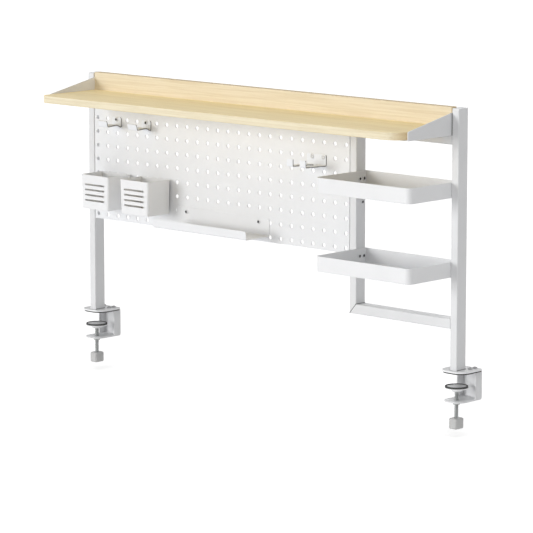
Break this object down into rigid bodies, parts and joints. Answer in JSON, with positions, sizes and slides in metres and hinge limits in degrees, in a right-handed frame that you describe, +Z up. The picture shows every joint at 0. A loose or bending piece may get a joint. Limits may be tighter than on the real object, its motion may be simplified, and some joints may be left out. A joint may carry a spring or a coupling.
{
  "type": "clamp-on desk shelf",
  "caption": "Clamp-on desk shelf: a steel frame on screw clamps holds a wooden shelf, a pegboard with pen cups, hooks and a ledge, and side trays.",
  "frame": {"origin": "on the plane of the desk top, at the desk's rear edge, where the front edges of the clamps' gussets stop it, midway between the two clamps", "axes": "+X to the user's right along the shelf, +Y away from the user, +Z up"},
  "size_m": [1.045, 0.2099, 0.613],
  "materials": {
    "white_powder_coat": "satin white powder coat",
    "pale_wood": "pale maple-like wood with fine grain along X, matt lacquer",
    "dark_rubber": "matt dark rubber",
    "zinc_steel": "bright zinc",
    "white_plastic": "white moulded plastic, fine satin"
  },
  "bodies": {
    "root": {"accessory_nuts": "zinc_steel", "back_board": "pale_wood", "back_board_screws": "zinc_steel", "bottom_rail": "white_powder_coat", "bottom_rail_end_plate": "white_powder_coat", "bracket_bolts": "white_powder_coat", "cup_screws": "white_powder_coat", "cup_spacers": "white_plastic", "headphone_hook": "white_powder_coat", "headphone_hook_screws": "white_powder_coat", "key_hook_screws": "white_powder_coat", "ledge": "white_powder_coat", "ledge_screws": "white_powder_coat", "left_clamp_bracket": "white_powder_coat", "left_clamp_plate": "white_powder_coat", "left_desk_pad": "dark_rubber", "left_foot_insert": "white_plastic", "left_foot_screws": "zinc_steel", "left_key_hook": "white_powder_coat", "left_pen_cup": "white_plastic", "left_plate_bolts": "white_powder_coat", "left_post": "white_powder_coat", "left_post_cap": "white_plastic", "left_shelf_bracket": "white_powder_coat", "left_weld_nut": "zinc_steel", "lower_tray": "white_powder_coat", "middle_post": "white_powder_coat", "pegboard": "white_powder_coat", "pegboard_bolts": "white_powder_coat", "pegboard_nuts": "zinc_steel", "right_clamp_bracket": "white_powder_coat", "right_clamp_plate": "white_powder_coat", "right_desk_pad": "dark_rubber", "right_foot_insert": "white_plastic", "right_foot_screws": "zinc_steel", "right_key_hook": "white_powder_coat", "right_pen_cup": "white_plastic", "right_plate_bolts": "white_powder_coat", "right_post": "white_powder_coat", "right_post_cap": "white_plastic", "right_shelf_bracket": "white_powder_coat", "right_weld_nut": "zinc_steel", "shelf_board": "pale_wood", "shelf_screws": "zinc_steel", "top_rail": "white_powder_coat", "tray_bolts": "white_powder_coat", "upper_tray": "white_powder_coat"},
    "left_pressing_disc": {"left_clamp_disc": "white_powder_coat", "left_disc_ring": "dark_rubber"},
    "left_screw": {"left_clamp_screw": "zinc_steel", "left_clamp_knob": "white_plastic"},
    "right_pressing_disc": {"right_clamp_disc": "white_powder_coat", "right_disc_ring": "dark_rubber"},
    "right_screw": {"right_clamp_screw": "zinc_steel", "right_clamp_knob": "white_plastic"}
  },
  "joints": [
    {"name": "left_clamp_travel", "type": "slide", "parent": "root", "child": "left_pressing_disc", "axis": [0, 0, 1], "range_m": [-0.0165, 0.017]},
    {"name": "left_screw_turn", "type": "hinge", "parent": "left_pressing_disc", "child": "left_screw", "pos_m": [-0.4915, -0.028, -0.087], "axis": [0, 0, 1], "range_deg": [-4900, 4900]},
    {"name": "right_clamp_travel", "type": "slide", "parent": "root", "child": "right_pressing_disc", "axis": [0, 0, 1], "range_m": [-0.0165, 0.017]},
    {"name": "right_screw_turn", "type": "hinge", "parent": "right_pressing_disc", "child": "right_screw", "pos_m": [0.4915, -0.028, -0.087], "axis": [0, 0, 1], "range_deg": [-4900, 4900]}
  ],
  "couplings": [
    {"joint": "left_screw_turn", "follows": "left_clamp_travel", "rad_per_m": 5026.5},
    {"joint": "right_screw_turn", "follows": "right_clamp_travel", "rad_per_m": 5026.5}
  ]
}
